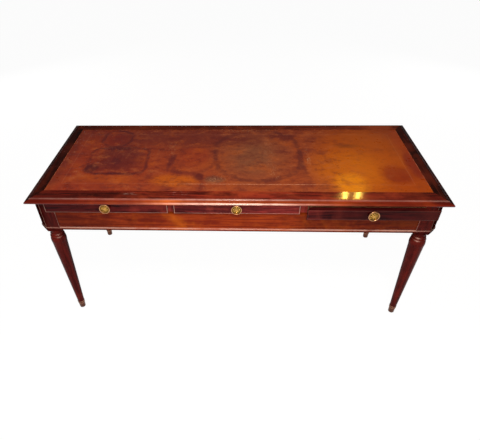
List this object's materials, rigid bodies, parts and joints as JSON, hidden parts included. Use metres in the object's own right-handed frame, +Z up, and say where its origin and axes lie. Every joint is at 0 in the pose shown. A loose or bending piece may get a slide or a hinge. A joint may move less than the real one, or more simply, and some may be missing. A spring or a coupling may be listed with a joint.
{
  "type": "coffee table",
  "caption": "Low rectangular table with a leather top in a banded, moulded frame, a frieze of lipped drawers and turned tapering legs in brass caps.",
  "frame": {"origin": "on the floor, at the middle of the table's box in plan, the knob of the right drawer included, which stands 25 mm open at rest", "axes": "+X to the right along the table, +Y to the back, +Z up; the drawers open towards -Y"},
  "size_m": [1.2, 0.528, 0.49],
  "materials": {
    "mahogany": "high gloss French polish",
    "dark_mahogany": "high gloss French polish",
    "drawer_mahogany": "high gloss French polish",
    "carcase_wood": "unpolished, planed",
    "leather": "polished, stained and worn, with a tooled line",
    "brass": "lacquered, slightly tarnished"
  },
  "bodies": {
    "frame": {"top_panel": "carcase_wood", "edge_moulding_front": "mahogany", "edge_moulding_right": "mahogany", "edge_moulding_back": "mahogany", "edge_moulding_left": "mahogany", "banding_front": "dark_mahogany", "banding_right": "dark_mahogany", "banding_back": "dark_mahogany", "banding_left": "dark_mahogany", "leather_inset": "leather", "leg_front_left": "mahogany", "leg_front_right": "mahogany", "leg_back_right": "mahogany", "leg_back_left": "mahogany", "foot_cap_front_left": "brass", "foot_cap_front_right": "brass", "foot_cap_back_right": "brass", "foot_cap_back_left": "brass", "front_rail": "mahogany", "side_apron_right": "mahogany", "back_apron": "mahogany", "side_apron_left": "mahogany", "divider_left": "mahogany", "divider_right": "mahogany", "divider_runner_left": "carcase_wood", "divider_runner_right": "carcase_wood", "side_runner_left": "carcase_wood", "side_runner_right": "carcase_wood", "side_guide_left": "carcase_wood", "side_guide_right": "carcase_wood", "glue_block_left": "carcase_wood", "glue_block_middle": "carcase_wood", "glue_block_right": "carcase_wood"},
    "drawer_left": {"drawer_left_front": "drawer_mahogany", "drawer_left_side_left": "carcase_wood", "drawer_left_side_right": "carcase_wood", "drawer_left_back": "carcase_wood", "drawer_left_bottom": "carcase_wood", "drawer_left_knob": "brass", "drawer_left_nut": "brass"},
    "drawer_middle": {"drawer_middle_front": "drawer_mahogany", "drawer_middle_side_left": "carcase_wood", "drawer_middle_side_right": "carcase_wood", "drawer_middle_back": "carcase_wood", "drawer_middle_bottom": "carcase_wood", "drawer_middle_knob": "brass", "drawer_middle_nut": "brass"},
    "drawer_right": {"drawer_right_front": "drawer_mahogany", "drawer_right_side_left": "carcase_wood", "drawer_right_side_right": "carcase_wood", "drawer_right_back": "carcase_wood", "drawer_right_bottom": "carcase_wood", "drawer_right_knob": "brass", "drawer_right_nut": "brass"}
  },
  "joints": [
    {"name": "drawer_left_slide", "type": "slide", "parent": "frame", "child": "drawer_left", "axis": [0, -1, 0], "range_m": [0, 0.26]},
    {"name": "drawer_middle_slide", "type": "slide", "parent": "frame", "child": "drawer_middle", "axis": [0, -1, 0], "range_m": [0, 0.26]},
    {"name": "drawer_right_slide", "type": "slide", "parent": "frame", "child": "drawer_right", "axis": [0, -1, 0], "range_m": [-0.025, 0.235]}
  ]
}
